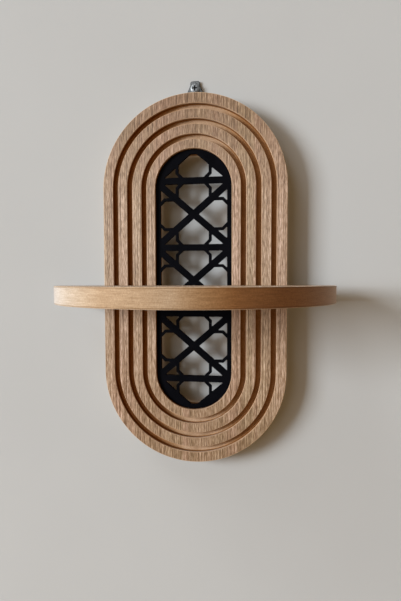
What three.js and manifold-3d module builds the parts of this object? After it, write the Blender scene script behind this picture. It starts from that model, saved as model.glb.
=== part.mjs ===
// Wall shelf: a grooved stadium-shaped panel with a cane-pattern grille in its opening, a half-round
// shelf board fixed to its front, and a hanger plate on its back.
// Millimetres, +X right, +Z up. The wall is the plane y = 0 and the front faces -Y.
// The origin is where the axis of the wall screw enters the wall.

import * as THREE from "three";
import { mergeVertices } from "three/addons/utils/BufferGeometryUtils.js";
import Module from "manifold-3d";

const wasm = await Module();
wasm.setup();

// Boards
const boardThickness = 18;
const panelWidth = 200;
const panelHeight = 400;
const brokenEdge = 0.5;

// Grooves round the panel's face
const grooveCount = 3;
const firstGrooveInset = 11.2;
const groovePitch = 16;
const grooveWidth = 5.4;
const grooveDepth = 5;

// Opening in the panel and the ledge that the grille is glued to
const openingWidth = 83;
const ledgeWidth = 3;
const grilleRecess = 3;
const grilleThickness = 3;
const grilleClearance = 0.3;
const glueGap = 0.1;

// Cane-pattern grille
const grilleBorder = 5.1;
const cellHeight = 72;
const crossBar = 7;
const diagonalBar = 7.3;
const diagonalReach = 42;
const thinBar = 3.2;
const windowHalfWidth = 16.5;
const windowHalfHeight = 14.5;
const windowCorner = 5.3;
const cellCount = 3;

// Shelf board
const shelfWidth = 300;
const shelfDepth = 132;
const shelfTopBelowMiddle = 5.3;

// Hanger plate
const plateThickness = 2;
const plateTopHalfWidth = 5.2;
const plateBaseHalfWidth = 23;
const plateTop = 8.8;
const plateShoulder = 4.3;
const plateBase = -35;
const plateTopCorner = 2.2;
const plateBaseCorner = 6;
const wallHoleDiameter = 5.5;
const panelTopBelowOrigin = 11.1;
const hangerScrewX = 13.5;
const hangerScrewZ = -27;

// Screws: diameter of the shank and head, height of the head, length below it or with it when
// countersunk, and the width, length and depth of the arms of the driving cross
const shelfScrew = {
  shank: 4, head: 8, headHeight: 2.4, length: 50,
  crossWidth: 1, crossLength: 4.4, crossDepth: 1.8,
};
const hangerScrew = {
  shank: 3, head: 6, headHeight: 1.7, length: 12,
  crossWidth: 0.8, crossLength: 3.4, crossDepth: 1.2,
};
const wallScrew = {
  shank: 4.5, head: 10.2, headHeight: 3, length: 40,
  crossWidth: 1.2, crossLength: 5.6, crossDepth: 2,
};
const shelfScrewX = [46.2, 78.1];
const tipLength = 5;
const tipRadius = 0.4;
const screwClearance = 0.3;
const headSink = 0.2;

// Outline of a pan head, as shares of its radius and of its height below the crown
const panHeadOutline = [[0.55, 0], [0.85, 0.25], [1, 0.65]];

// Facets
const panelFacets = 80;
const shelfFacets = 96;
const screwFacets = 24;

// How far a cutting shape runs past the face that it cuts, and the least distance that counts
const cutOverrun = 1;
const leastDistance = 1e-4;

// Places worked out from the dimensions
const panelBack = -plateThickness;
const panelFront = panelBack - boardThickness;
const panelMiddle = -panelTopBelowOrigin - panelHeight / 2;
const straightLength = panelHeight - panelWidth;
const outerRadius = panelWidth / 2;
const openingRadius = openingWidth / 2;
const ledgeFront = panelFront + grilleRecess + grilleThickness + glueGap;
const shelfTop = panelMiddle - shelfTopBelowMiddle;
const shelfMiddle = shelfTop - boardThickness / 2;
const shelfBack = panelFront - glueGap;

// Colours of the surfaces
const veneer = new THREE.MeshStandardMaterial({ color: 0xb59578, roughness: 0.6, metalness: 0 });
const edgeBoard = new THREE.MeshStandardMaterial({ color: 0xc4a078, roughness: 0.65, metalness: 0 });
const blackPaint = new THREE.MeshStandardMaterial({ color: 0x0b0d12, roughness: 0.55, metalness: 0 });
const zinc = new THREE.MeshStandardMaterial({ color: 0x9a9c9c, roughness: 0.4, metalness: 0.9 });

// Closed solid for joining and cutting, from any closed three.js geometry
function toSolid(geometry) {
  const bare = geometry.clone();
  bare.deleteAttribute("normal");
  bare.deleteAttribute("uv");
  const merged = mergeVertices(bare, leastDistance);
  const corners = [];
  for (let i = 0; i < merged.index.count; i += 3) {
    const [a, b, c] = [0, 1, 2].map((k) => merged.index.getX(i + k));
    if (a !== b && b !== c && c !== a) corners.push(a, b, c);
  }
  return new wasm.Manifold(new wasm.Mesh({
    numProp: 3,
    vertProperties: new Float32Array(merged.attributes.position.array),
    triVerts: new Uint32Array(corners),
  }));
}

// Flat-shaded three.js geometry from a solid
function toGeometry(solid) {
  const mesh = solid.getMesh();
  const indexed = new THREE.BufferGeometry();
  indexed.setAttribute("position", new THREE.BufferAttribute(new Float32Array(mesh.vertProperties), 3));
  indexed.setIndex(new THREE.BufferAttribute(new Uint32Array(mesh.triVerts), 1));
  const flat = indexed.toNonIndexed();
  flat.computeVertexNormals();
  return flat;
}

// Solid with a stadium plan: a profile of [radius, y] points turned about the panel's middle, then
// its upper half raised and its lower half dropped by half of the straight length. The turn starts
// half a step off the top, so that no corner lies on the level where the two halves part.
function stadiumSolid(profile) {
  const halfStep = Math.PI / panelFacets;
  const outward = 1 / Math.cos(halfStep);
  const points = profile.map(([radius, y]) => new THREE.Vector2(radius * outward, y));
  const turned = new THREE.LatheGeometry(points, panelFacets, halfStep, 2 * Math.PI);
  const position = turned.attributes.position;
  for (let i = 0; i < position.count; i += 1) {
    const z = position.getZ(i);
    if (Math.hypot(position.getX(i), z) > leastDistance) {
      position.setZ(i, z + Math.sign(z) * straightLength / 2);
    }
  }
  turned.translate(0, 0, panelMiddle);
  return toSolid(turned);
}

// Outline with pointed corners, given as [x, z] points
function pointedShape(corners) {
  return new THREE.Shape(corners.map(([x, z]) => new THREE.Vector2(x, z)));
}

// Outline with round corners, given anticlockwise as [x, z, radius]; a radius of 0 leaves a point
function roundedShape(corners) {
  const shape = new THREE.Shape();
  corners.forEach(([x, z, radius], i) => {
    if (radius === 0) {
      shape.lineTo(x, z);
      return;
    }
    const corner = new THREE.Vector2(x, z);
    const [before, after] = [corners.at(i - 1), corners[(i + 1) % corners.length]].map(
      ([nextX, nextZ]) => new THREE.Vector2(nextX, nextZ).sub(corner).normalize());
    const half = before.angleTo(after) / 2;
    const start = before.clone().multiplyScalar(radius / Math.tan(half)).add(corner);
    const end = after.clone().multiplyScalar(radius / Math.tan(half)).add(corner);
    const inward = before.clone().add(after).normalize();
    const centre = inward.multiplyScalar(radius / Math.sin(half)).add(corner);
    if (i === 0) shape.moveTo(start.x, start.y);
    const angleOf = (point) => Math.atan2(point.y - centre.y, point.x - centre.x);
    shape.absarc(centre.x, centre.y, radius, angleOf(start), angleOf(end), false);
  });
  shape.closePath();
  return shape;
}

// Prism of an outline along Y, from y = back towards the front
function prismAlongY(shape, back, depth) {
  const prism = new THREE.ExtrudeGeometry(shape, { depth, bevelEnabled: false });
  prism.rotateX(Math.PI / 2);
  prism.translate(0, back, 0);
  return toSolid(prism);
}

// Turned solid whose axis runs along +Y through (x, z), of a profile of [radius, y] points
function turnedSolid(profile, x, z) {
  const points = profile.map(([radius, y]) => new THREE.Vector2(radius, y));
  const turned = new THREE.LatheGeometry(points, screwFacets);
  turned.translate(x, 0, z);
  return toSolid(turned);
}

// Profile of the panel's section, from the opening out to the rim and back
function panelProfile() {
  const through = openingRadius - ledgeWidth;
  const profile = [
    [through, panelBack],
    [through, ledgeFront],
    [openingRadius, ledgeFront],
    [openingRadius, panelFront + brokenEdge],
    [openingRadius + brokenEdge, panelFront],
  ];
  for (let groove = grooveCount - 1; groove >= 0; groove -= 1) {
    const outer = outerRadius - firstGrooveInset - groove * groovePitch;
    const inner = outer - grooveWidth;
    profile.push(
      [inner - brokenEdge, panelFront],
      [inner, panelFront + brokenEdge],
      [inner, panelFront + grooveDepth],
      [outer, panelFront + grooveDepth],
      [outer, panelFront + brokenEdge],
      [outer + brokenEdge, panelFront],
    );
  }
  profile.push(
    [outerRadius - brokenEdge, panelFront],
    [outerRadius, panelFront + brokenEdge],
    [outerRadius, panelBack - brokenEdge],
    [outerRadius - brokenEdge, panelBack],
    [through, panelBack],
  );
  return profile;
}

// Hole for a countersunk screw whose head is let in from y = face and whose point aims along -Y
function screwHole(screw, face, x, z) {
  const bore = screw.shank / 2 + screwClearance;
  const mouth = screw.head / 2 + screwClearance;
  const bottom = face - headSink - screw.length - screwClearance;
  return turnedSolid([
    [0, face + cutOverrun],
    [mouth, face + cutOverrun],
    [mouth, face - headSink],
    [bore, face - headSink - screw.headHeight],
    [bore, bottom],
    [0, bottom],
  ].reverse(), x, z);
}

// Cross-shaped driving recess, cut from y = face to the given side
function crossRecess(screw, face, side, x, z) {
  const depth = screw.crossDepth + cutOverrun;
  const long = new THREE.BoxGeometry(screw.crossLength, depth, screw.crossWidth);
  const tall = new THREE.BoxGeometry(screw.crossWidth, depth, screw.crossLength);
  const middle = face + side * (cutOverrun - screw.crossDepth) / 2;
  long.translate(x, middle, z);
  tall.translate(x, middle, z);
  return toSolid(long).add(toSolid(tall));
}

// Countersunk screw driven from y = face along -Y
function countersunkScrew(screw, face, x, z) {
  const top = face - headSink;
  const shank = screw.shank / 2;
  const body = turnedSolid([
    [0, top],
    [screw.head / 2, top],
    [shank, top - screw.headHeight],
    [shank, top - screw.length + tipLength],
    [tipRadius, top - screw.length],
    [0, top - screw.length],
  ].reverse(), x, z);
  return body.subtract(crossRecess(screw, top, 1, x, z));
}

// Pan-head screw that clamps the hanger plate to the wall, driven along +Y
function panHeadScrew(screw, seat, x, z) {
  const rim = screw.head / 2;
  const shank = screw.shank / 2;
  const crown = seat - screw.headHeight;
  const body = turnedSolid([
    [0, crown],
    ...panHeadOutline.map(([out, down]) => [rim * out, crown + screw.headHeight * down]),
    [rim, seat],
    [shank, seat],
    [shank, seat + screw.length - tipLength],
    [tipRadius, seat + screw.length],
    [0, seat + screw.length],
  ], x, z);
  return body.subtract(crossRecess(screw, crown, -1, x, z));
}

// Grooved panel with its opening, the holes of the shelf screws and those of the hanger screws
function backPanel() {
  let panel = stadiumSolid(panelProfile());
  for (const x of shelfScrewPlaces()) {
    panel = panel.subtract(screwHole(shelfScrew, panelBack, x, shelfMiddle));
  }
  for (const side of [-1, 1]) {
    panel = panel.subtract(screwHole(hangerScrew, 0, side * hangerScrewX, hangerScrewZ));
  }
  return panel;
}

// X of every shelf screw, from left to right
function shelfScrewPlaces() {
  return [...shelfScrewX.map((x) => -x).reverse(), ...shelfScrewX];
}

// Windows of one cell of the cane pattern, as outlines in the quarter above and right of its middle:
// the gable-shaped window over the crossing, the one beside it, and the two corner slips
function cellWindows() {
  const slope = cellHeight / 2 / diagonalReach;
  const angle = Math.atan(slope);
  const rise = diagonalBar / 2 / Math.cos(angle);
  const run = diagonalBar / 2 / Math.sin(angle);
  const height = cellHeight / 2 - crossBar / 2;
  const width = openingRadius - grilleBorder;
  const wide = windowHalfWidth;
  const tall = windowHalfHeight;
  const corner = windowCorner;
  const mitre = thinBar * (Math.SQRT2 - 1);
  const beside = (z) => run + z / slope;
  const over = (x) => rise + x * slope;
  const gable = [
    [0, rise], [wide, over(wide)], [wide, height - corner], [wide - corner, height],
    [corner - wide, height], [-wide, height - corner], [-wide, over(wide)],
  ];
  const side = [
    [run, 0], [beside(tall), tall], [width - corner, tall], [width, tall - corner],
    [width, corner - tall], [width - corner, -tall], [beside(tall), -tall],
  ];
  const upperSlip = [
    [wide - corner + thinBar * Math.SQRT2, height], [wide + thinBar, height - corner + mitre],
    [wide + thinBar, over(wide + thinBar)], [(height - rise) / slope, height],
  ];
  const sideSlip = [
    [width, tall - corner + thinBar * Math.SQRT2], [width - corner + mitre, tall + thinBar],
    [beside(tall + thinBar), tall + thinBar], [width, slope * (width - run)],
  ];
  return { gable, side, upperSlip, sideSlip };
}

// Plain stadium plate between two levels of y
function stadiumPlate(radius, front, back) {
  return stadiumSolid([[0, front], [radius, front], [radius, back], [0, back]]);
}

// Every window of the grille. Whole cells are mirrored from one quarter, and beyond the outer bars
// the pattern starts another cell that the grille's rim cuts short.
function grilleWindows() {
  const { gable, side, upperSlip, sideSlip } = cellWindows();
  const placed = (outline, flipX, flipZ, z) => outline.map(([x, up]) => [flipX * x, z + flipZ * up]);
  const outlines = [];
  const lowest = panelMiddle - cellHeight * (cellCount - 1) / 2;
  for (let cell = -1; cell <= cellCount; cell += 1) {
    const z = lowest + cell * cellHeight;
    const whole = cell >= 0 && cell < cellCount;
    for (const up of [-1, 1]) {
      if (!whole && up === Math.sign(cell)) continue;
      outlines.push(placed(gable, 1, up, z));
      for (const right of [-1, 1]) {
        outlines.push(placed(upperSlip, right, up, z));
        if (whole) outlines.push(placed(sideSlip, right, up, z));
      }
    }
    if (whole) outlines.push(placed(side, -1, 1, z), placed(side, 1, 1, z));
  }
  return outlines;
}

// Flat grille: a stadium plate with the windows of the cane pattern cut through it
function latticeInsert() {
  const front = panelFront + grilleRecess;
  const back = front + grilleThickness;
  const field = stadiumPlate(openingRadius - grilleBorder, front - cutOverrun, back + cutOverrun);
  let grille = stadiumPlate(openingRadius - grilleClearance, front, back);
  const windowDepth = grilleThickness + 2 * cutOverrun;
  for (const outline of grilleWindows()) {
    const window = prismAlongY(pointedShape(outline), back + cutOverrun, windowDepth);
    grille = grille.subtract(window.intersect(field));
  }
  return grille;
}

// Half-round board whose straight back edge meets the panel's face
function shelfBoard() {
  const radius = ((shelfWidth / 2) ** 2 + shelfDepth ** 2) / (2 * shelfDepth);
  const centre = shelfBack - shelfDepth + radius;
  const lean = Math.asin((centre - shelfBack) / radius);
  const shape = new THREE.Shape();
  shape.moveTo(-shelfWidth / 2, shelfBack + cutOverrun);
  shape.lineTo(-shelfWidth / 2, shelfBack);
  shape.absarc(0, centre, radius, Math.PI + lean, 2 * Math.PI - lean, false);
  shape.lineTo(shelfWidth / 2, shelfBack + cutOverrun);
  shape.closePath();
  const slab = new THREE.ExtrudeGeometry(shape, {
    depth: boardThickness - 2 * brokenEdge,
    bevelThickness: brokenEdge,
    bevelSize: brokenEdge,
    bevelOffset: -brokenEdge,
    bevelSegments: 1,
    curveSegments: shelfFacets,
  });
  slab.translate(0, 0, shelfTop - boardThickness + brokenEdge);
  const behind = new THREE.BoxGeometry(
    shelfWidth + 2 * cutOverrun, 2 * cutOverrun, boardThickness + 2 * cutOverrun);
  behind.translate(0, shelfBack + cutOverrun, shelfMiddle);
  let board = toSolid(slab).subtract(toSolid(behind));
  for (const x of shelfScrewPlaces()) {
    board = board.subtract(screwHole(shelfScrew, panelBack, x, shelfMiddle));
  }
  return board;
}

// Steel plate with one hole for the wall screw and two countersunk holes for its own screws
function hangerPlate() {
  const outline = roundedShape([
    [-plateBaseHalfWidth, plateBase, plateBaseCorner],
    [plateBaseHalfWidth, plateBase, plateBaseCorner],
    [plateTopHalfWidth, plateShoulder, 0],
    [plateTopHalfWidth, plateTop, plateTopCorner],
    [-plateTopHalfWidth, plateTop, plateTopCorner],
    [-plateTopHalfWidth, plateShoulder, 0],
  ]);
  const wallHole = new THREE.CylinderGeometry(
    wallHoleDiameter / 2, wallHoleDiameter / 2, plateThickness + 2 * cutOverrun, screwFacets);
  wallHole.translate(0, -plateThickness / 2, 0);
  let plate = prismAlongY(outline, 0, plateThickness).subtract(toSolid(wallHole));
  for (const side of [-1, 1]) {
    plate = plate.subtract(screwHole(hangerScrew, 0, side * hangerScrewX, hangerScrewZ));
  }
  return plate;
}

// Named mesh from a solid
function piece(name, solid, material) {
  const mesh = new THREE.Mesh(toGeometry(solid), material);
  mesh.name = name;
  return mesh;
}

const wallShelf = new THREE.Group();
wallShelf.add(piece("back_panel", backPanel(), veneer));
wallShelf.add(piece("lattice_insert", latticeInsert(), blackPaint));
wallShelf.add(piece("shelf_board", shelfBoard(), edgeBoard));
shelfScrewPlaces().forEach((x, i) => {
  const screw = countersunkScrew(shelfScrew, panelBack, x, shelfMiddle);
  wallShelf.add(piece(`shelf_screw_${i + 1}`, screw, zinc));
});
wallShelf.add(piece("hanger_plate", hangerPlate(), zinc));
for (const [name, side] of [["left", -1], ["right", 1]]) {
  const screw = countersunkScrew(hangerScrew, 0, side * hangerScrewX, hangerScrewZ);
  wallShelf.add(piece(`hanger_screw_${name}`, screw, zinc));
}
wallShelf.add(piece("wall_screw", panHeadScrew(wallScrew, -plateThickness, 0, 0), zinc));

export default wallShelf;
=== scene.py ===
"""Wall shelf: a grooved stadium-shaped panel with a cane-pattern grille, a half-round shelf board and a
hanger plate.

Metres, +X right, +Z up. The wall is the plane y = 0 and the front faces -Y. The origin is where the axis
of the wall screw enters the wall.
"""

import math

import bmesh
import bpy
from mathutils import Matrix, Vector
from mathutils.geometry import tessellate_polygon


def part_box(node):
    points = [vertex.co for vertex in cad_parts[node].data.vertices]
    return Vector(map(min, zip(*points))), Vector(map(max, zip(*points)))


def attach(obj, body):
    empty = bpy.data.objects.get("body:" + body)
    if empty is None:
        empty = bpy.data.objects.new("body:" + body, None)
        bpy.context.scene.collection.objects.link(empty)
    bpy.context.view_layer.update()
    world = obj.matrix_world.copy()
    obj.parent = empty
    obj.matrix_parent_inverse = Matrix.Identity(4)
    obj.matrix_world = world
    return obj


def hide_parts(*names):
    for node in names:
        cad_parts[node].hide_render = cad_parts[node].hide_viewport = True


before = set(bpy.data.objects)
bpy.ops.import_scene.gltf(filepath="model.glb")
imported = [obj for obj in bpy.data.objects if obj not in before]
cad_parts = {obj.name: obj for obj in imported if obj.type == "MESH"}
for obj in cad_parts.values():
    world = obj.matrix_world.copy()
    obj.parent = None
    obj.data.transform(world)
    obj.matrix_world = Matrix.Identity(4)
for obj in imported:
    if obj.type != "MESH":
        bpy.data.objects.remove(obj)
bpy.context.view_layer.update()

mm = 0.001

# Camera: where the photograph was taken from, as fitted to the object's edges in the 401 x 601 picture
photo_height = 601
photo_focal_pixels = 414.62
sensor_long_side = 36
camera_place = Vector((64.11, -465.22, -212.74)) * mm
camera_pitch = math.radians(-2.544)
camera_yaw = math.radians(7.204)
camera_roll = math.radians(-0.122)
camera_nearest = 10 * mm

# Light: a soft key low from the left as of a window, weaker ones above it and nearer the front, one straight
# from behind, and a warm fill as of a room. 1 is the level at which a white surface facing it renders white.
key_direction = Vector((-0.83, -0.53, 0.15)).normalized()
key_level = 1.46
key_colour = (0.97, 1.0, 1.03)
key_size = (4.8, 5.2)
upper_direction = Vector((-0.50, -0.29, 0.82)).normalized()
upper_level = 0.35
upper_size = (5.6, 5.6)
front_direction = Vector((-0.49, -0.85, 0.17)).normalized()
front_level = 0.12
front_size = (6.5, 6.0)
lamp_distance = 14.0
fill_level = 0.25
fill_colour = (1.0, 0.61, 0.26, 1)
backdrop_level = 0.5
backdrop_colour = (1.0, 0.98, 0.95, 1)
back_level = 0.7
back_angle = math.radians(8)

# Stage
wall_gap = 0.5 * mm
wall_half_width = 3.0
floor_level = -1.0
seen_through_below = 10 * mm
wall_colour = (0.435, 0.458, 0.47, 1)
floor_colour = (0.62, 0.62, 0.61, 1)
floor_bounce = (0.42, 0.26, 0.11, 1)

# Places and sizes that the frame gives
panel_low, panel_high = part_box("back_panel")
grille_low, grille_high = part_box("lattice_insert")
board_low, board_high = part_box("shelf_board")
plate_low, plate_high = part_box("hanger_plate")
panel_front, panel_back = panel_low.y, panel_high.y
panel_middle = (panel_low.z + panel_high.z) / 2
outer_radius = (panel_high.x - panel_low.x) / 2
half_straight = (panel_high.z - panel_low.z) / 2 - outer_radius
grille_radius = (grille_high.x - grille_low.x) / 2
board_middle = (board_low.z + board_high.z) / 2
shelf_screws = [f"shelf_screw_{number}" for number in (1, 2, 3, 4)]
hanger_screws = ["hanger_screw_left", "hanger_screw_right"]
shelf_screw_places = [sum(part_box(node), Vector()).x / 2 for node in shelf_screws]
hanger_screw_places = [sum(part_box(node), Vector()).x / 2 for node in hanger_screws]
hanger_screw_level = sum(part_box(hanger_screws[0]), Vector()).z / 2

# Grooves and opening of the panel
groove_count = 3
first_groove_inset = 11.2 * mm
groove_pitch = 16 * mm
groove_width = 5.4 * mm
groove_depth = 5 * mm
opening_radius = 41.5 * mm
ledge_width = 3 * mm
ledge_gap = 0.1 * mm
arris = 0.6 * mm
groove_fillet = 1.4 * mm

# Cane pattern of the grille. A window's corner is round where half its angle is under window_blunt, and the
# arc takes at most round_room of a side.
grille_border = 5.1 * mm
cell_height = 72 * mm
cross_bar = 7 * mm
diagonal_bar = 7.3 * mm
diagonal_reach = 42 * mm
thin_bar = 3.2 * mm
window_half_width = 16.5 * mm
window_half_height = 14.5 * mm
window_corner = 5.3 * mm
cell_count = 3
window_round = 0.5 * mm
round_room = 0.4
window_blunt = math.radians(80)
grille_arris = 0.18 * mm

# Shelf board
board_arris = 0.6 * mm

# Hanger plate
plate_top_half_width = 5.2 * mm
plate_base_half_width = 23 * mm
plate_shoulder = 4.3 * mm
plate_shoulder_corner = 2 * mm
plate_top_corner = 2.2 * mm
plate_base_corner = 6 * mm
plate_arris = 0.6 * mm
wall_hole_radius = 2.75 * mm

# Screws: radius of the shank and head, height of the head, length, thread pitch, length without a thread
# and driving cross
shelf_screw = dict(shank=2.0 * mm, head=4.0 * mm, head_height=2.4 * mm, length=50 * mm, pitch=1.8 * mm,
                   bare=16 * mm, cross_length=4.4 * mm, cross_width=1.0 * mm, cross_depth=1.8 * mm)
hanger_screw = dict(shank=1.5 * mm, head=3.0 * mm, head_height=1.7 * mm, length=12 * mm, pitch=1.35 * mm,
                    bare=2.4 * mm, cross_length=3.4 * mm, cross_width=0.8 * mm, cross_depth=1.2 * mm)
wall_screw = dict(shank=2.25 * mm, head=5.1 * mm, head_height=3.0 * mm, length=40 * mm, pitch=2.0 * mm,
                  bare=3 * mm, cross_length=5.8 * mm, cross_width=1.5 * mm, cross_depth=2.2 * mm)
tip_length = 5 * mm
tip_radius = 0.05 * mm
screw_clearance = 0.3 * mm
head_sink = 0.2 * mm
flat_head_edge = 0.12 * mm
pan_head_edge = 0.1 * mm

# Shares: of a pan head's radius where its dome begins, of its height that the dome takes, of a shank's
# radius at the thread's root, and of a pitch that half a ridge takes; then the turns in which a thread
# reaches its height
pan_head_flat = 0.5
pan_head_dome = 0.62
root_share = 0.68
ridge_share = 0.3
fade_turns = 2

# Driving cross: how far its mouth stands out and how much longer and wider it is there, then its taper as
# (share of the depth, share of the length, share of the width), and the most that an arm's width may be of
# its length
cross_overrun = 0.4 * mm
cross_mouth = (1.12, 1.1)
cross_taper = ((0.6, 0.72, 0.85), (1, 0.2, 0.4))
widest_arm = 0.8

# Veneer: its two tones and the one of its ruddy columns. Painted shade: between which levels the panel's
# veneer darkens towards its top or bottom end, and to what share
veneer_tones = ((0.378, 0.255, 0.173, 1), (0.342, 0.241, 0.149, 1))
column_tone = (0.398, 0.257, 0.182, 1)
panel_painted_shade = ((-125 * mm, -45 * mm, 0.68), (-330 * mm, -411 * mm, 0.78))

# Bare edges: over which depths the veneer's own edge ends and the glue line begins and ends, how dark the
# line is, and the tones of a sanded edge and a routed groove, with deeper layers as (depth at which they
# begin, depth from which they are full, colour). The routed groove's deeper layers are painted shade: its
# walls darken below the lip and its floor stays darker than the core
skin_depth = (0.5 * mm, 0.65 * mm)
glue_begins = (0.55 * mm, 0.7 * mm)
glue_ends = (1.1 * mm, 1.5 * mm)
glue_share = 0.64
sanded = dict(skin=(0.42, 0.30, 0.19, 1), core=(0.350, 0.238, 0.140, 1),
              layers=[(0.8 * mm, 4.5 * mm, (0.364, 0.251, 0.150, 1))], gloss=0.15, sheen=0.6)
routed_and_shaded = dict(skin=(0.39, 0.265, 0.175, 1), core=(0.34, 0.22, 0.13, 1),
              layers=[(1.2 * mm, 3.0 * mm, (0.18, 0.064, 0.013, 1)),
                      (4.2 * mm, 4.9 * mm, (0.315, 0.165, 0.073, 1))], gloss=0.0, sheen=0.0)

# Painted light and shade: over which stretches along x the tone of the shelf board's edge and of the grooves
# is made lighter or darker, and between which shares. The board's edge is paler at its left end, which faces
# the key lamp, darker towards the right and a little lighter at its right tip; the grooves are darker on the
# left and paler in the middle, where the floors of their arcs are lit. A warmer change is browner where it
# is darker
painted_light_warmth = 5.0
board_painted_light = ((-150 * mm, -58 * mm, 1.42, 1.0), (-20 * mm, 5 * mm, 1.0, 1.05),
                (0 * mm, 50 * mm, 1.0, 0.635), (90 * mm, 130 * mm, 1.0, 1.1))
groove_painted_light = ((-42 * mm, -10 * mm, 0.88, 1.28), (28 * mm, 54 * mm, 1.0, 0.79))

# Paint and plating: a darker and a lighter tone each. The near-black zinc is painted shade on the hanger
# plate's edges and holes and in the screws' driving crosses
paint_tones = ((0.0016, 0.0018, 0.0028, 1), (0.0026, 0.0028, 0.0044, 1))
plate_tones = ((0.08, 0.085, 0.088, 1), (0.21, 0.215, 0.217, 1))
screw_tones = ((0.15, 0.16, 0.165, 1), (0.31, 0.32, 0.33, 1))
painted_shade_tones = ((0.012, 0.013, 0.014, 1), (0.035, 0.036, 0.038, 1))

# Steps of the meshes
arc_steps = 96
board_steps = 160
arris_steps = 3
profile_steps = 5
window_steps = 3
plate_steps = 10
screw_steps = 32
wall_screw_steps = 64
hole_steps = 48
dome_steps = 10
steps_per_turn = 10

# How far a cutting shape runs past the face that it cuts, the least side of an outline, the least side of a
# window, how near a level counts as the same, and the angle from which an edge is sharp
cut_overrun = 1 * mm
least_side = 0.01 * mm
least_window_side = 0.05 * mm
same_level = 0.001 * mm
sharp_angle = math.radians(40)


# Outlines

def rounded(corners, steps):
    """Closed outline through (u, v, radius) corners, each turned through an arc of its radius"""
    outline = []
    for i, (u, v, radius) in enumerate(corners):
        corner = Vector((u, v))
        if radius == 0:
            outline.append(corner)
            continue
        before = (Vector(corners[i - 1][:2]) - corner).normalized()
        after = (Vector(corners[(i + 1) % len(corners)][:2]) - corner).normalized()
        half = before.angle(after) / 2
        first = before * (radius / math.tan(half))
        last = after * (radius / math.tan(half))
        centre = (before + after).normalized() * (radius / math.sin(half))
        spoke = first - centre
        turn = math.atan2(spoke.cross(last - centre), spoke.dot(last - centre))
        for step in range(steps + 1):
            angle = turn * step / steps
            outline.append(corner + centre + Matrix.Rotation(angle, 2) @ spoke)
    return outline


def circle(radius, u, v, steps):
    """Closed round outline, anticlockwise"""
    angles = [2 * math.pi * step / steps for step in range(steps)]
    return [Vector((u + radius * math.cos(a), v + radius * math.sin(a))) for a in angles]


def stadium(radius, steps):
    """Closed stadium outline about the panel's middle, anticlockwise as seen from the front"""
    outline = []
    for side, first in ((1, 0), (-1, math.pi)):
        for step in range(steps + 1):
            angle = first + math.pi * step / steps
            middle = panel_middle + side * half_straight
            outline.append(Vector((radius * math.cos(angle), middle + radius * math.sin(angle))))
    return outline


def moved_out(outline, distance):
    """The outline with every side moved to its right by a distance"""
    moved = []
    for i, point in enumerate(outline):
        normals = []
        for a, b in ((outline[i - 1], point), (point, outline[(i + 1) % len(outline)])):
            along = (b - a).normalized()
            normals.append(Vector((along.y, -along.x)))
        moved.append(point + (normals[0] + normals[1]) * (distance / (1 + normals[0].dot(normals[1]))))
    return moved


def clipped(outline, frame_outline):
    """The part of an outline inside a convex anticlockwise one"""
    for i, b in enumerate(frame_outline):
        a = frame_outline[i - 1]
        inside = [(b - a).cross(point - a) for point in outline]
        kept = []
        for j, point in enumerate(outline):
            before, after = inside[j - 1], inside[j]
            if before * after < 0:
                kept.append(outline[j - 1].lerp(point, before / (before - after)))
            if after >= 0:
                kept.append(point)
        outline = kept
        if len(outline) < 3:
            return []
    return outline


def without_doubles(outline, least=least_side):
    """The outline without points that lie closer together than the least distance"""
    return [p for i, p in enumerate(outline) if (p - outline[i - 1]).length > least]


# Meshes

def slab(outline, holes, low, high, edge, place):
    """Flat piece between two levels with round edges: an anticlockwise outline and clockwise holes"""
    bm = bmesh.new()
    levels = []
    for step in range(arris_steps + 1):
        angle = math.pi / 2 * step / arris_steps
        levels.append((-edge * (1 - math.sin(angle)), low + edge * (1 - math.cos(angle))))
    levels += [(inset, low + high - level) for inset, level in reversed(levels)]
    loops = [outline, *holes]
    rings = []
    for inset, level in levels:
        rings.append([[bm.verts.new(place(p.x, p.y, level)) for p in moved_out(loop, inset)]
                      for loop in loops])
    for lower, upper in zip(rings, rings[1:]):
        for below, above in zip(lower, upper):
            for i in range(len(below)):
                side = bm.faces.new((below[i - 1], below[i], above[i], above[i - 1]))
                side.material_index = 1
    for ring in (rings[0], rings[-1]):
        flat = [vert for loop in ring for vert in loop]
        for corners in tessellate_polygon([[vert.co for vert in loop] for loop in ring]):
            bm.faces.new([flat[i] for i in corners])
    bmesh.ops.recalc_face_normals(bm, faces=bm.faces)
    return bm


def upright(u, v, level):
    """Place of a point of a piece that stands against the wall"""
    return Vector((u, level, v))


def lying(u, v, level):
    """Place of a point of a piece that lies level"""
    return Vector((u, v, level))


def turned(stations, x, z, steps=screw_steps, pitch=1):
    """Closed round solid about an axis along Y, of (radius, y, thread height) stations"""
    bm = bmesh.new()
    rings = []
    for radius, y, thread in stations:
        ring = []
        for step in range(steps):
            angle = 2 * math.pi * step / steps
            phase = (y / pitch - step / steps) % 1
            reach = radius + thread * max(0, 1 - abs(phase - 0.5) / ridge_share)
            ring.append(bm.verts.new((x + reach * math.cos(angle), y, z + reach * math.sin(angle))))
        rings.append(ring)
    for lower, upper in zip(rings, rings[1:]):
        for i in range(steps):
            bm.faces.new((lower[i - 1], lower[i], upper[i], upper[i - 1]))
    bm.faces.new(rings[0])
    bm.faces.new(rings[-1])
    bmesh.ops.recalc_face_normals(bm, faces=bm.faces)
    return bm


def to_object(bm, name, materials):
    """Object of a mesh that is being built, with its materials"""
    mesh = bpy.data.meshes.new(name)
    bm.to_mesh(mesh)
    bm.free()
    for material in materials:
        mesh.materials.append(material)
    piece = bpy.data.objects.new(name, mesh)
    bpy.context.scene.collection.objects.link(piece)
    return piece


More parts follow.
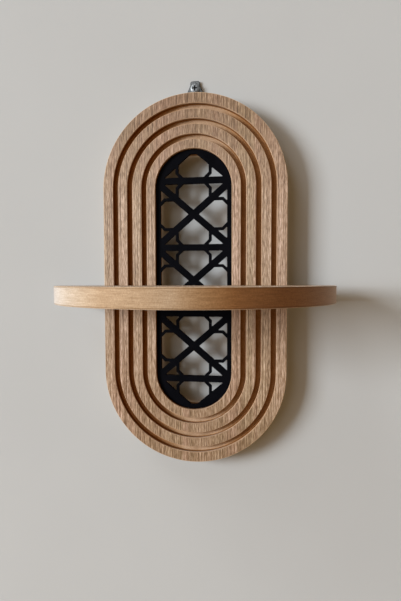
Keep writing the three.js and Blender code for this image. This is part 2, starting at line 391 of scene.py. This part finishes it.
def cut(piece, cutters):
    """Cuts closed meshes out of a piece for good; the cut faces take its last material"""
    materials = list(piece.data.materials)
    for bm in cutters:
        for face in bm.faces:
            face.material_index = len(materials) - 1
        cutter = to_object(bm, "cutter", materials)
        boolean = piece.modifiers.new("cut", "BOOLEAN")
        boolean.operation = "DIFFERENCE"
        boolean.solver = "EXACT"
        boolean.object = cutter
        graph = bpy.context.evaluated_depsgraph_get()
        mesh = bpy.data.meshes.new_from_object(piece.evaluated_get(graph))
        piece.modifiers.clear()
        old = piece.data
        piece.data = mesh
        mesh.name = piece.name
        bpy.data.meshes.remove(old)
        bpy.data.objects.remove(cutter)


def dress(piece, slot, *nodes):
    """Gives a finished mesh its normals and puts it in place of its CAD nodes"""
    piece.data.shade_smooth()
    piece.data.set_sharp_from_angle(angle=sharp_angle)
    normals = piece.modifiers.new("flat faces stay flat", "WEIGHTED_NORMAL")
    normals.keep_sharp = True
    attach(piece, "root")
    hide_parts(*nodes)


# Node graphs

def join(tree, socket, value):
    """Links a socket to another one, or sets its value"""
    if isinstance(value, bpy.types.NodeSocket):
        tree.links.new(value, socket)
    else:
        socket.default_value = value


def add(tree, kind, inputs, output=0, **settings):
    """New node with its inputs joined, and one of its outputs"""
    node = tree.nodes.new(kind)
    for key, value in settings.items():
        setattr(node, key, value)
    for key, value in inputs.items():
        join(tree, node.inputs[key], value)
    return node.outputs[output]


def math_of(tree, operation, first, second):
    """Sum, product or other result of two numbers"""
    return add(tree, "ShaderNodeMath", {0: first, 1: second}, operation=operation)


def spread(tree, value, low, high, to_low, to_high):
    """The value carried from one range to another, held at its ends"""
    return add(tree, "ShaderNodeMapRange", {
        "Value": value, "From Min": low, "From Max": high, "To Min": to_low, "To Max": to_high})


def mixed(tree, share, first, second):
    """Colour between two others"""
    return mix_colours(tree, share, first, second, "MIX")


def mix_colours(tree, share, first, second, blend):
    """Colour from two others by a way of blending"""
    node = tree.nodes.new("ShaderNodeMix")
    node.data_type = "RGBA"
    node.blend_type = blend
    join(tree, node.inputs[0], share)
    join(tree, node.inputs[6], first)
    join(tree, node.inputs[7], second)
    return node.outputs[2]


def shaded(tree, colour, factor, warmth=1.0):
    """Colour made lighter or darker by a number; with warmth, darker is browner and lighter is paler"""
    green = math_of(tree, "POWER", factor, 1 + 0.2 * warmth)
    blue = math_of(tree, "POWER", factor, 1 + 0.5 * warmth)
    tint = add(tree, "ShaderNodeCombineXYZ", {0: factor, 1: green, 2: blue})
    return mix_colours(tree, 1.0, colour, tint, "MULTIPLY")


def object_place(tree):
    """Place of a point in the object's own metres"""
    return add(tree, "ShaderNodeTexCoord", {}, output="Object")


def noise(tree, place, per_metre, detail=2.0, roughness=0.5, seed=0.0):
    """Noise with its own number of cells per metre along each axis"""
    scaled = add(tree, "ShaderNodeMapping", {"Vector": place, "Location": (seed, seed * 1.7, seed * 0.6),
                                             "Scale": per_metre})
    return add(tree, "ShaderNodeTexNoise", {
        "Vector": scaled, "Scale": 1.0, "Detail": detail, "Roughness": roughness})


def new_material(name):
    """Material with its tree and its surface shader"""
    material = bpy.data.materials.new(name)
    material.use_nodes = True
    return material, material.node_tree, material.node_tree.nodes["Principled BSDF"]


def bump(tree, shader, height, strength, distance):
    """Raises the surface by a height"""
    normal = add(tree, "ShaderNodeBump", {"Height": height, "Strength": strength, "Distance": distance},
                 output="Normal")
    join(tree, shader.inputs["Normal"], normal)


# Materials

def along_grain(axis, across, along):
    """Noise cells per metre for streaks that run along one axis"""
    return tuple(along if i == axis else across for i in range(3))


def part_of(tree, place, axis):
    """One coordinate of a place"""
    parts = tree.nodes.new("ShaderNodeSeparateXYZ")
    join(tree, parts.inputs[0], place)
    return parts.outputs[axis]


def veneer(name, axis, tangent_axis, painted_shade_ends=()):
    """Matt oak-like veneer whose grain runs along one axis; its sheen spreads across the grain; painted
    shade darkens it towards given ends
    """
    material, tree, shader = new_material(name)
    place = object_place(tree)
    bands = noise(tree, place, along_grain(axis, 26, 1.2), detail=2, seed=3.1)
    columns = noise(tree, place, along_grain(axis, 75, 2.5), detail=1, seed=15.8)
    streaks = noise(tree, place, along_grain(axis, 1200, 7), detail=2, roughness=0.6, seed=7.7)
    fibres = noise(tree, place, along_grain(axis, 2200, 130), detail=2, roughness=0.65, seed=1.3)
    lines = noise(tree, place, along_grain(axis, 1400, 8), detail=1, seed=12.4)
    pores = noise(tree, place, along_grain(axis, 1900, 120), detail=1, seed=5.2)
    colour = mixed(tree, spread(tree, bands, 0.38, 0.62, 0, 1), *veneer_tones)
    colour = mixed(tree, spread(tree, columns, 0.52, 0.66, 0, 0.6), colour, column_tone)
    colour = shaded(tree, colour, spread(tree, streaks, 0.36, 0.64, 0.61, 1.39))
    colour = shaded(tree, colour, spread(tree, fibres, 0.38, 0.62, 0.52, 1.46))
    colour = shaded(tree, colour, spread(tree, lines, 0.55, 0.65, 1.02, 0.50))
    # Painted shade: darker towards the ends along the grain
    for start, end, share in painted_shade_ends:
        colour = shaded(tree, colour, spread(tree, part_of(tree, place, axis), start, end, 1.0, share))
    pore = spread(tree, pores, 0.60, 0.68, 0, 1)
    colour = shaded(tree, colour, spread(tree, pore, 0, 1, 1.0, 0.66))
    join(tree, shader.inputs["Base Color"], colour)
    join(tree, shader.inputs["Roughness"], spread(tree, streaks, 0.3, 0.7, 0.48, 0.62))
    shader.inputs["Specular IOR Level"].default_value = 0.4
    shader.inputs["Anisotropic"].default_value = 0.75
    join(tree, shader.inputs["Tangent"], add(tree, "ShaderNodeTangent", {}, direction_type="RADIAL",
                                             axis=tangent_axis))
    relief = math_of(tree, "SUBTRACT", math_of(tree, "MULTIPLY", fibres, 0.4), pore)
    bump(tree, shader, relief, 0.3, 0.12 * mm)
    return material


def fibreboard(name, axis, low, high, skin, core, layers, gloss, sheen, painted_light_drifts=()):
    """Bare edge of a veneered fibreboard: a thin edge of veneer, a glue line and a fibrous core in layers,
    of which deeper ones may paint shade; light and shade are painted along x by factors as (x from, x to,
    factor at the first, factor at the second)"""
    material, tree, shader = new_material(name)
    place = object_place(tree)
    level = part_of(tree, place, axis)
    depth = math_of(tree, "MINIMUM", math_of(tree, "SUBTRACT", level, low),
                    math_of(tree, "SUBTRACT", high, level))
    waver = noise(tree, place, (90, 90, 90), detail=1, seed=4.4)
    depth = math_of(tree, "ADD", depth, spread(tree, waver, 0.3, 0.7, -0.05 * mm, 0.05 * mm))
    specks = noise(tree, place, (800, 800, 800), detail=3, roughness=0.7, seed=2.2)
    flat = [60.0, 60.0, 60.0]
    flat[axis] = 1100.0
    fibres = noise(tree, place, tuple(flat), detail=2, roughness=0.6, seed=9.1)
    colour = core
    # Deeper layers; in a routed groove they are painted shade
    for begin, full, tone in layers:
        colour = mixed(tree, spread(tree, depth, begin, full, 0, 1), colour, tone)
    # Painted light and shade: the tone made lighter or darker along x
    for start, end, first, second in painted_light_drifts:
        painted_light_factor = spread(tree, part_of(tree, place, 0), start, end, first, second)
        colour = shaded(tree, colour, painted_light_factor, warmth=painted_light_warmth)
    colour = mixed(tree, spread(tree, depth, *skin_depth, 0, 1), skin, colour)
    glue = math_of(tree, "MULTIPLY", spread(tree, depth, *glue_begins, 0, 1),
                   spread(tree, depth, *glue_ends, 1, 0))
    colour = shaded(tree, colour, spread(tree, glue, 0, 1, 1.0, glue_share))
    colour = shaded(tree, colour, spread(tree, specks, 0.35, 0.65, 0.86, 1.14))
    colour = shaded(tree, colour, spread(tree, fibres, 0.35, 0.65, 0.88, 1.12))
    join(tree, shader.inputs["Base Color"], colour)
    join(tree, shader.inputs["Roughness"], spread(tree, specks, 0.3, 0.7, 0.62, 0.78))
    shader.inputs["Specular IOR Level"].default_value = gloss
    shader.inputs["Sheen Weight"].default_value = sheen
    shader.inputs["Sheen Roughness"].default_value = 0.4
    bump(tree, shader, specks, 0.15, 0.1 * mm)
    return material


def black_paint(name):
    """Matt near-black paint with the faint grain of a sprayed coat"""
    material, tree, shader = new_material(name)
    place = object_place(tree)
    coat = noise(tree, place, (1600, 1600, 1600), detail=2, seed=6.0)
    cloud = noise(tree, place, (60, 60, 60), detail=3, seed=8.0)
    colour = mixed(tree, spread(tree, cloud, 0.35, 0.65, 0, 1), *paint_tones)
    join(tree, shader.inputs["Base Color"], colour)
    join(tree, shader.inputs["Roughness"], spread(tree, cloud, 0.3, 0.7, 0.5, 0.64))
    shader.inputs["Specular IOR Level"].default_value = 0.02
    bump(tree, shader, coat, 0.3, 0.05 * mm)
    return material


def zinc(name, dark, light):
    """Dull zinc plating, clouded between two tones and lightly scratched"""
    material, tree, shader = new_material(name)
    place = object_place(tree)
    cloud = noise(tree, place, (420, 420, 420), detail=3, seed=1.0)
    scratch = noise(tree, place, (300, 300, 3500), detail=2, seed=4.0)
    colour = mixed(tree, spread(tree, cloud, 0.3, 0.7, 0, 1), dark, light)
    join(tree, shader.inputs["Base Color"], colour)
    shader.inputs["Metallic"].default_value = 1.0
    join(tree, shader.inputs["Roughness"], spread(tree, cloud, 0.3, 0.7, 0.48, 0.62))
    relief = math_of(tree, "ADD", scratch, math_of(tree, "MULTIPLY", cloud, 0.5))
    bump(tree, shader, relief, 0.2, 0.05 * mm)
    return material


# The panel

def panel_profile():
    """Closed section of the panel as (radius, y) points, from the opening to the rim"""
    through = opening_radius - ledge_width
    ledge_front = grille_high.y + ledge_gap
    corners = [
        (through, panel_back, arris),
        (through, ledge_front, arris / 2),
        (opening_radius, ledge_front, arris / 2),
        (opening_radius, panel_front, arris),
    ]
    for groove in reversed(range(groove_count)):
        outer = outer_radius - first_groove_inset - groove * groove_pitch
        inner = outer - groove_width
        floor = panel_front + groove_depth
        corners += [
            (inner, panel_front, arris),
            (inner, floor, groove_fillet),
            (outer, floor, groove_fillet),
            (outer, panel_front, arris),
        ]
    corners += [(outer_radius, panel_front, arris), (outer_radius, panel_back, arris)]
    return rounded(corners, profile_steps)


def panel_surface(a, b):
    """Material of a side of the panel's section: 0 on a face, 1 on the rim, 2 in the grooves and opening"""
    level = abs(a.y - b.y) < same_level
    if level and min(abs(a.y - panel_front), abs(a.y - panel_back)) < same_level:
        return 0
    return 1 if min(a.x, b.x) > outer_radius - arris - same_level else 2


def back_panel(materials):
    """Grooved board with its opening and the holes for the screws that are driven from behind"""
    profile = panel_profile()
    bm = bmesh.new()
    tracks = [stadium(radius, arc_steps) for radius, y in profile]
    rings = []
    for places in zip(*tracks):
        rings.append([bm.verts.new(upright(*place, y)) for place, (radius, y) in zip(places, profile)])
    for i, ring in enumerate(rings):
        for j in range(len(profile)):
            face = bm.faces.new((ring[j - 1], ring[j], rings[i - 1][j], rings[i - 1][j - 1]))
            face.material_index = panel_surface(profile[j - 1], profile[j])
    bmesh.ops.recalc_face_normals(bm, faces=bm.faces)
    panel = to_object(bm, "panel", materials)
    holes = [screw_hole(shelf_screw, panel_back, x, board_middle) for x in shelf_screw_places]
    holes += [screw_hole(hanger_screw, plate_high.y, x, hanger_screw_level) for x in hanger_screw_places]
    cut(panel, holes)
    dress(panel, "panel_wood", "back_panel")


# The grille

def cell_windows():
    """Windows of one cell of the pattern, in the quarter above and right of its middle"""
    slope = cell_height / 2 / diagonal_reach
    lean = math.atan(slope)
    rise = diagonal_bar / 2 / math.cos(lean)
    run = diagonal_bar / 2 / math.sin(lean)
    height = cell_height / 2 - cross_bar / 2
    width = opening_radius - grille_border
    wide, tall, corner, thin = window_half_width, window_half_height, window_corner, thin_bar
    mitre = thin * (math.sqrt(2) - 1)

    def beside(z):
        return run + z / slope

    def over(x):
        return rise + x * slope

    gable = [(0, rise), (wide, over(wide)), (wide, height - corner), (wide - corner, height),
             (corner - wide, height), (-wide, height - corner), (-wide, over(wide))]
    side = [(run, 0), (beside(tall), tall), (width - corner, tall), (width, tall - corner),
            (width, corner - tall), (width - corner, -tall), (beside(tall), -tall)]
    upper_slip = [(wide - corner + thin * math.sqrt(2), height), (wide + thin, height - corner + mitre),
                  (wide + thin, over(wide + thin)), ((height - rise) / slope, height)]
    side_slip = [(width, tall - corner + thin * math.sqrt(2)), (width - corner + mitre, tall + thin),
                 (beside(tall + thin), tall + thin), (width, slope * (width - run))]
    return gable, side, upper_slip, side_slip


def grille_windows():
    """Every window of the grille, cut short by its rim, clockwise and with slightly round corners"""
    gable, side, upper_slip, side_slip = cell_windows()
    field = without_doubles(stadium(opening_radius - grille_border, arc_steps // 2))
    windows = []

    def place(outline, right, up, middle):
        points = [Vector((right * x, middle + up * z)) for x, z in outline]
        area = sum(a.cross(b) for a, b in zip(points, points[1:] + points[:1]))
        if area < 0:
            points.reverse()
        points = without_doubles(clipped(points, field), least_window_side)
        if len(points) > 2:
            windows.append(softened(points)[::-1])

    lowest = panel_middle - cell_height * (cell_count - 1) / 2
    for cell in range(-1, cell_count + 1):
        middle = lowest + cell * cell_height
        whole = 0 <= cell < cell_count
        for up in (-1, 1):
            if not whole and (up < 0) == (cell < 0):
                continue
            place(gable, 1, up, middle)
            for right in (-1, 1):
                place(upper_slip, right, up, middle)
                if whole:
                    place(side_slip, right, up, middle)
        if whole:
            place(side, -1, 1, middle)
            place(side, 1, 1, middle)
    return windows


def softened(points):
    """The outline with its sharp corners turned through small arcs"""
    corners = []
    for i, point in enumerate(points):
        before, after = points[i - 1] - point, points[(i + 1) % len(points)] - point
        half = before.angle(after) / 2
        room = round_room * min(before.length, after.length) * math.tan(half)
        sharp = half < window_blunt
        corners.append((point.x, point.y, min(window_round, room) if sharp else 0))
    return rounded(corners, window_steps)


def lattice(materials):
    """Flat grille cut in the cane pattern"""
    outline = without_doubles(stadium(grille_radius, arc_steps))
    bm = slab(outline, grille_windows(), grille_low.y, grille_high.y, grille_arris, upright)
    dress(to_object(bm, "grille", materials), "black_paint", "lattice_insert")


# The shelf board

def shelf_board(materials):
    """Half-round board with a straight back edge against the panel"""
    half = (board_high.x - board_low.x) / 2
    depth = board_high.y - board_low.y
    radius = (half ** 2 + depth ** 2) / (2 * depth)
    centre = board_low.y + radius
    lean = math.asin((centre - board_high.y) / radius)
    first, last = math.pi + lean, 2 * math.pi - lean
    outline = []
    for step in range(board_steps + 1):
        angle = first + (last - first) * step / board_steps
        outline.append(Vector((radius * math.cos(angle), centre + radius * math.sin(angle))))
    solid = slab(outline, [], board_low.z, board_high.z, board_arris, lying)
    board = to_object(solid, "board", materials)
    cut(board, [screw_hole(shelf_screw, panel_back, x, board_middle) for x in shelf_screw_places])
    dress(board, "shelf_wood", "shelf_board")


# The hanger plate and the screws

def hanger_plate(materials):
    """Steel plate with the hole that hangs on the wall screw and two countersunk ones"""
    outline = rounded([
        (-plate_base_half_width, plate_low.z, plate_base_corner),
        (plate_base_half_width, plate_low.z, plate_base_corner),
        (plate_top_half_width, plate_shoulder, plate_shoulder_corner),
        (plate_top_half_width, plate_high.z, plate_top_corner),
        (-plate_top_half_width, plate_high.z, plate_top_corner),
        (-plate_top_half_width, plate_shoulder, plate_shoulder_corner),
    ], plate_steps)
    hole = circle(wall_hole_radius, 0, 0, wall_screw_steps)[::-1]
    solid = slab(outline, [hole], plate_low.y, plate_high.y, plate_arris, upright)
    plate = to_object(solid, "hanger", materials)
    cut(plate, [screw_hole(hanger_screw, plate_high.y, x, hanger_screw_level) for x in hanger_screw_places])
    dress(plate, "zinc", "hanger_plate")


def screw_hole(screw, face, x, z):
    """Closed form of a countersunk screw hole from y = face, which a piece is cut by"""
    bore = screw["shank"] + screw_clearance
    mouth = screw["head"] + screw_clearance
    top = face - head_sink
    stations = [(mouth, face + cut_overrun, 0), (mouth, top, 0), (bore, top - screw["head_height"], 0),
                (bore, top - screw["length"] - screw_clearance, 0)]
    return turned(stations, x, z, steps=hole_steps)


def thread_stations(screw, start, side):
    """Stations of a threaded shank from its start to its point, along +Y or -Y"""
    length = screw["length"] if side > 0 else screw["length"] - screw["head_height"]
    root = screw["shank"] * root_share
    ridge = screw["shank"] - root
    step = screw["pitch"] / steps_per_turn
    count = round(length / step)
    stations = []
    for i in range(count + 1):
        down = length * i / count
        taper = min(1, (length - down) / tip_length)
        fade = min(1, max(0, (down - screw["bare"]) / (fade_turns * screw["pitch"])))
        radius = (root + ridge * (1 - fade) ** 2) * taper
        stations.append((max(radius, tip_radius), start + side * down, ridge * fade * taper))
    return stations


def driving_cross(screw, face, side, x, z):
    """Tapered cross that a screw head is cut by; the head's crown is at y = face and side points out"""
    bm = bmesh.new()
    rings = []
    levels = [(cross_overrun, *cross_mouth)]
    levels += [(-screw["cross_depth"] * depth, *shares) for depth, *shares in cross_taper]
    for out, long_share, wide_share in levels:
        long = screw["cross_length"] / 2 * long_share
        wide = min(screw["cross_width"] / 2 * wide_share, long * widest_arm)
        quarter = [(long, -wide), (long, wide), (wide, wide)]
        ring = []
        for turn in range(4):
            spin = Matrix.Rotation(math.pi / 2 * turn, 2)
            for corner in quarter:
                u, v = spin @ Vector(corner)
                ring.append(bm.verts.new((x + u, face + side * out, z + v)))
        rings.append(ring)
    for lower, upper in zip(rings, rings[1:]):
        for i in range(len(lower)):
            bm.faces.new((lower[i - 1], lower[i], upper[i], upper[i - 1]))
    bm.faces.new(rings[0])
    bm.faces.new(rings[-1])
    bmesh.ops.recalc_face_normals(bm, faces=bm.faces)
    return bm


def countersunk_screw(name, node, screw, face, x, z, materials):
    """Wood screw driven from y = face along -Y, with a flat head"""
    top = face - head_sink
    stations = [(screw["head"] - flat_head_edge, top, 0), (screw["head"], top - flat_head_edge, 0)]
    stations += thread_stations(screw, top - screw["head_height"], -1)
    piece = to_object(turned(stations, x, z, pitch=screw["pitch"]), name, materials)
    cut(piece, [driving_cross(screw, top, 1, x, z)])
    dress(piece, "zinc", node)


def wall_screw_piece(materials):
    """Pan-head screw that holds the hanger plate on the wall"""
    screw = wall_screw
    seat = plate_low.y
    crown = seat - screw["head_height"]
    stations = []
    for step in range(dome_steps + 1):
        angle = math.pi / 2 * step / dome_steps
        radius = screw["head"] * (pan_head_flat + (1 - pan_head_flat) * math.sin(angle))
        stations.append((radius, crown + screw["head_height"] * pan_head_dome * (1 - math.cos(angle)), 0))
    stations.append((screw["head"], seat - pan_head_edge, 0))
    stations.append((screw["head"] - pan_head_edge, seat, 0))
    stations += thread_stations(screw, seat, 1)
    solid = turned(stations, 0, 0, steps=wall_screw_steps, pitch=screw["pitch"])
    piece = to_object(solid, "wall_screw_piece", materials)
    cut(piece, [driving_cross(screw, crown, -1, 0, 0)])
    dress(piece, "zinc", "wall_screw")


# The stage

def plane(name, corners, material):
    """Flat stage piece through four corners"""
    mesh = bpy.data.meshes.new(name)
    mesh.from_pydata(corners, [], [(0, 1, 2, 3)])
    mesh.materials.append(material)
    piece = bpy.data.objects.new(name, mesh)
    bpy.context.scene.collection.objects.link(piece)


def seen_itself(tree):
    """1 for rays that show a thing itself, in a reflection or through glass, and 0 for light it sends on"""
    path = tree.nodes.new("ShaderNodeLightPath")
    seen = math_of(tree, "MAXIMUM", path.outputs["Is Camera Ray"], path.outputs["Is Glossy Ray"])
    return math_of(tree, "MAXIMUM", seen, path.outputs["Is Transmission Ray"])


def pale(name, colour, bounce):
    """Plain pale paint, with the colour that it sends on to other things"""
    material, tree, shader = new_material(name)
    place = object_place(tree)
    cloud = noise(tree, place, (6, 6, 6), detail=2)
    colour = mixed(tree, seen_itself(tree), bounce, colour)
    colour = shaded(tree, colour, spread(tree, cloud, 0.3, 0.7, 0.985, 1.015), warmth=0)
    join(tree, shader.inputs["Base Color"], colour)
    shader.inputs["Roughness"].default_value = 0.9
    shader.inputs["Specular IOR Level"].default_value = 0.1
    return material


def one_sided(material):
    """Lets light and views through a wall from behind, and to what lies right against its front"""
    tree = material.node_tree
    output = tree.nodes["Material Output"]
    behind = add(tree, "ShaderNodeNewGeometry", {}, output="Backfacing")
    path = tree.nodes.new("ShaderNodeLightPath")
    near = math_of(tree, "LESS_THAN", path.outputs["Ray Length"], seen_through_below)
    away = math_of(tree, "SUBTRACT", 1.0, path.outputs["Is Camera Ray"])
    through = math_of(tree, "MAXIMUM", behind, math_of(tree, "MULTIPLY", near, away))
    clear = add(tree, "ShaderNodeBsdfTransparent", {})
    shader = tree.nodes["Principled BSDF"].outputs[0]
    mix = add(tree, "ShaderNodeMixShader", {0: through, 1: shader, 2: clear})
    join(tree, output.inputs["Surface"], mix)
    return material


def build_stage():
    """Wall right behind the object and a floor well below it"""
    half = wall_half_width
    top = 2 * half + floor_level
    wall = one_sided(pale("wall_paint", wall_colour, wall_colour))
    plane("wall", [(-half, wall_gap, floor_level), (half, wall_gap, floor_level), (half, wall_gap, top),
                   (-half, wall_gap, top)], wall)
    plane("floor", [(-half, -half, floor_level), (half, -half, floor_level), (half, half, floor_level),
                    (-half, half, floor_level)], pale("floor_paint", floor_colour, floor_bounce))


def area_lamp(name, direction, level, size, colour=(1, 1, 1)):
    """Rectangular lamp in a direction from the panel's middle"""
    light = bpy.data.lights.new(name, "AREA")
    light.shape = "RECTANGLE"
    light.size, light.size_y = size
    light.color = colour
    light.energy = level * math.pi ** 2 * lamp_distance ** 2
    lamp = bpy.data.objects.new(name, light)
    lamp.location = Vector((0, panel_front, panel_middle)) + direction * lamp_distance
    lamp.rotation_euler = (-direction).to_track_quat("-Z", "Y").to_euler()
    bpy.context.scene.collection.objects.link(lamp)


def build_light():
    """Three soft lamps from the left, a light straight from behind and an even fill from the world"""
    area_lamp("key", key_direction, key_level, key_size, key_colour)
    area_lamp("upper", upper_direction, upper_level, upper_size)
    area_lamp("front", front_direction, front_level, front_size)
    back = bpy.data.lights.new("back", "SUN")
    back.energy = back_level * math.pi
    back.angle = back_angle
    lamp = bpy.data.objects.new("back", back)
    lamp.rotation_euler = Vector((0, -1, 0)).to_track_quat("-Z", "Z").to_euler()
    bpy.context.scene.collection.objects.link(lamp)
    world = bpy.data.worlds.new("fill")
    bpy.context.scene.world = world
    world.use_nodes = True
    tree = world.node_tree
    seen = seen_itself(tree)
    background = tree.nodes["Background"]
    join(tree, background.inputs["Color"], mixed(tree, seen, fill_colour, backdrop_colour))
    join(tree, background.inputs["Strength"], spread(tree, seen, 0, 1, fill_level, backdrop_level))


def build_camera():
    """Camera where the photograph was taken from"""
    data = bpy.data.cameras.new("camera")
    data.sensor_width = sensor_long_side
    data.lens = sensor_long_side * photo_focal_pixels / photo_height
    data.clip_start = camera_nearest
    camera = bpy.data.objects.new("camera", data)
    bpy.context.scene.collection.objects.link(camera)
    turn = (Matrix.Rotation(camera_yaw, 4, "Z") @ Matrix.Rotation(math.pi / 2 + camera_pitch, 4, "X")
            @ Matrix.Rotation(camera_roll, 4, "Z"))
    camera.matrix_world = Matrix.Translation(camera_place) @ turn
    bpy.context.scene.camera = camera


build_camera()

panel_veneer = veneer("panel_veneer", 2, "Z", panel_painted_shade)
panel_edge = fibreboard("panel_fibreboard", 1, panel_front, panel_back, **sanded)
# The grooves take painted shade in their depth and painted light and shade along x
groove_core_light_and_shade = fibreboard("groove_fibreboard", 1, panel_front, panel_back, **routed_and_shaded, painted_light_drifts=groove_painted_light)
board_veneer = veneer("shelf_veneer", 0, "X")
# The shelf board's edge takes painted light and shade along x
board_core_and_painted_light = fibreboard("shelf_fibreboard", 2, board_low.z, board_high.z, **sanded, painted_light_drifts=board_painted_light)
paint = black_paint("matt_black")
plate_plating = zinc("plate_zinc", *plate_tones)
screw_plating = zinc("screw_zinc", *screw_tones)
# Near-black zinc: painted shade on edges, holes and driving crosses
painted_shade_plating = zinc("painted_shade_zinc", *painted_shade_tones)

back_panel([panel_veneer, panel_edge, groove_core_light_and_shade])
lattice([paint, paint])
shelf_board([board_veneer, board_core_and_painted_light])
hanger_plate([plate_plating, painted_shade_plating])
for i, (node, x) in enumerate(zip(shelf_screws, shelf_screw_places)):
    countersunk_screw(f"long_screw_{i + 1}", node, shelf_screw, panel_back, x, board_middle,
                      [screw_plating, painted_shade_plating])
for node, x in zip(hanger_screws, hanger_screw_places):
    countersunk_screw(node.replace("hanger", "short"), node, hanger_screw, plate_high.y, x,
                      hanger_screw_level, [screw_plating, painted_shade_plating])
wall_screw_piece([screw_plating, painted_shade_plating])

build_stage()
build_light()
bpy.context.scene.view_settings.view_transform = "Standard"
